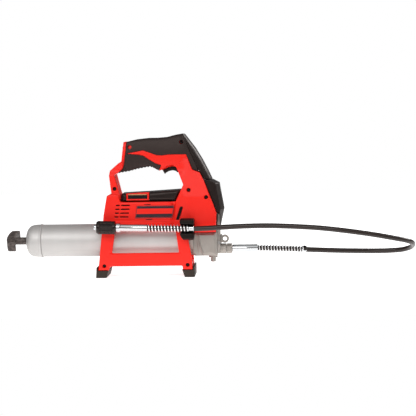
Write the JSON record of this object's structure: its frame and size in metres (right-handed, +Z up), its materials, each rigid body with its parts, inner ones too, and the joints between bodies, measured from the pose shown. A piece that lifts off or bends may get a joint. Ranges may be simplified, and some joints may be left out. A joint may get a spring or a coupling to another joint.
{
  "type": "cordless grease gun",
  "caption": "Cordless grease gun with a D-handle housing on two rubber feet, a screw-on barrel with follower rod, and a whip hose with locking coupler clipped to its side.",
  "frame": {"origin": "on the standing surface, under the middle of the gun without its hose", "axes": "+X from the T-handle towards the hose outlet, +Z up, the hose is clipped on the -Y side"},
  "size_m": [0.727, 0.1155, 0.2528],
  "materials": {
    "red_plastic": "satin moulded nylon, fine grain",
    "grip_rubber": "soft matt overmould with fine grain",
    "black_plastic": "satin moulded nylon",
    "gauge_lens": "dark clear window",
    "nameplate": "printed plate without lettering",
    "foot_rubber": "matt moulded rubber",
    "clip_plastic": "soft sheen moulded clip",
    "steel": "machined",
    "black_steel": "black oxide",
    "contact_brass": "plated contact",
    "cast_aluminium": "die cast, lightly blasted",
    "zinc_plate": "bright zinc plate",
    "barrel_metal": "satin plated tube",
    "handle_plastic": "grained moulded plastic",
    "hose_rubber": "glossy black thermoplastic hose",
    "guard_steel": "plated spring wire",
    "sleeve_rubber": "ribbed moulded sleeve"
  },
  "bodies": {
    "frame": {"housing_near": "red_plastic", "housing_far": "red_plastic", "grip_near": "grip_rubber", "grip_far": "grip_rubber", "front_cover": "black_plastic", "crank_cover": "black_plastic", "deck_cover": "black_plastic", "gauge_bezel": "red_plastic", "gauge_lens": "gauge_lens", "nameplate": "nameplate", "foot_rear": "foot_rubber", "foot_front": "foot_rubber", "hose_clip": "clip_plastic", "trigger_spring": "steel", "switch_body": "black_plastic", "terminal_block": "contact_brass", "motor_can": "steel", "ring_gear": "steel", "gear_case": "cast_aluminium", "shaft_bearing": "steel", "pump_head": "cast_aluminium", "barrel_gasket": "foot_rubber", "check_ball": "steel", "outlet_adapter": "cast_aluminium", "strap_eye": "cast_aluminium", "eye_bolt": "steel", "hose": "hose_rubber", "gun_ferrule": "zinc_plate", "gun_spring_guard": "guard_steel", "gun_collar": "zinc_plate", "coupler_collar": "zinc_plate", "coupler_spring_guard": "guard_steel", "coupler_ferrule": "zinc_plate", "coupler_body": "zinc_plate", "screw_handle_front": "black_steel", "screw_strut": "black_steel", "screw_column_upper": "black_steel", "screw_column_lower": "black_steel", "screw_foot_rear": "black_steel", "screw_foot_front": "black_steel"},
    "trigger": {"trigger": "black_plastic"},
    "battery": {"battery_pack": "black_plastic"},
    "battery_latch": {"battery_latch": "red_plastic"},
    "rotor": {"motor_rotor": "steel"},
    "carrier": {"planet_carrier": "steel", "crank": "steel"},
    "planet_1": {"planet_gear_1": "steel"},
    "planet_2": {"planet_gear_2": "steel"},
    "planet_3": {"planet_gear_3": "steel"},
    "plunger": {"pump_plunger": "steel"},
    "bleeder": {"bleeder_valve": "cast_aluminium"},
    "barrel": {"barrel": "barrel_metal", "end_cap": "barrel_metal", "follower_spring": "steel"},
    "rod": {"follower_rod": "steel"},
    "t_handle": {"t_handle": "handle_plastic"},
    "follower": {"follower": "foot_rubber"},
    "coupler_sleeve": {"coupler_sleeve": "sleeve_rubber"}
  },
  "joints": [
    {"name": "trigger_pull", "type": "hinge", "parent": "frame", "child": "trigger", "pos_m": [0.109, 0.012, 0.198], "axis": [0, 1, 0], "range_deg": [0, 9], "stiffness_Nm_per_rad": 0.4, "springref_deg": -8.59, "deforming": ["trigger_spring"]},
    {"name": "battery_slide", "type": "slide", "parent": "frame", "child": "battery", "axis": [-1, 0, 0], "range_m": [0, 0.09]},
    {"name": "latch_press", "type": "slide", "parent": "battery", "child": "battery_latch", "axis": [0, 0, -1], "range_m": [0, 0.002], "stiffness_N_per_m": 300, "springref_m": -0.002},
    {"name": "rotor_spin", "type": "hinge", "parent": "frame", "child": "rotor", "pos_m": [0, 0.012, 0.115], "axis": [1, 0, 0], "continuous": true},
    {"name": "carrier_spin", "type": "hinge", "parent": "frame", "child": "carrier", "pos_m": [0, 0.012, 0.115], "axis": [1, 0, 0], "continuous": true},
    {"name": "planet_1_spin", "type": "hinge", "parent": "carrier", "child": "planet_1", "pos_m": [0.071, 0.012, 0.1246], "axis": [1, 0, 0], "continuous": true},
    {"name": "planet_2_spin", "type": "hinge", "parent": "carrier", "child": "planet_2", "pos_m": [0.071, 0.00369, 0.1102], "axis": [1, 0, 0], "continuous": true},
    {"name": "planet_3_spin", "type": "hinge", "parent": "carrier", "child": "planet_3", "pos_m": [0.071, 0.02031, 0.1102], "axis": [1, 0, 0], "continuous": true},
    {"name": "plunger_stroke", "type": "slide", "parent": "frame", "child": "plunger", "axis": [0, 0, -1], "range_m": [-0.0035, 0.0035]},
    {"name": "bleeder_turn", "type": "hinge", "parent": "frame", "child": "bleeder", "pos_m": [0.1682, 0.012, 0.03], "axis": [0, 0, 1], "range_deg": [0, 270]},
    {"name": "barrel_unscrew", "type": "hinge", "parent": "frame", "child": "barrel", "pos_m": [0, 0.012, 0.0646], "axis": [1, 0, 0], "range_deg": [0, 720]},
    {"name": "rod_pull", "type": "slide", "parent": "barrel", "child": "rod", "axis": [-1, 0, 0], "range_m": [0, 0.185]},
    {"name": "t_handle_turn", "type": "hinge", "parent": "rod", "child": "t_handle", "pos_m": [-0.19, 0.012, 0.0646], "axis": [1, 0, 0], "continuous": true},
    {"name": "follower_travel", "type": "slide", "parent": "barrel", "child": "follower", "axis": [1, 0, 0], "range_m": [0, 0.2], "deforming": ["follower_spring"]},
    {"name": "sleeve_turn", "type": "hinge", "parent": "frame", "child": "coupler_sleeve", "pos_m": [0.1369, -0.041, 0.0872], "axis": [-0.9997, 0, 0.0244], "continuous": true}
  ],
  "couplings": [
    {"joint": "carrier_spin", "follows": "rotor_spin", "ratio": 0.25},
    {"joint": "planet_1_spin", "follows": "rotor_spin", "ratio": -0.75},
    {"joint": "planet_2_spin", "follows": "rotor_spin", "ratio": -0.75},
    {"joint": "planet_3_spin", "follows": "rotor_spin", "ratio": -0.75}
  ]
}
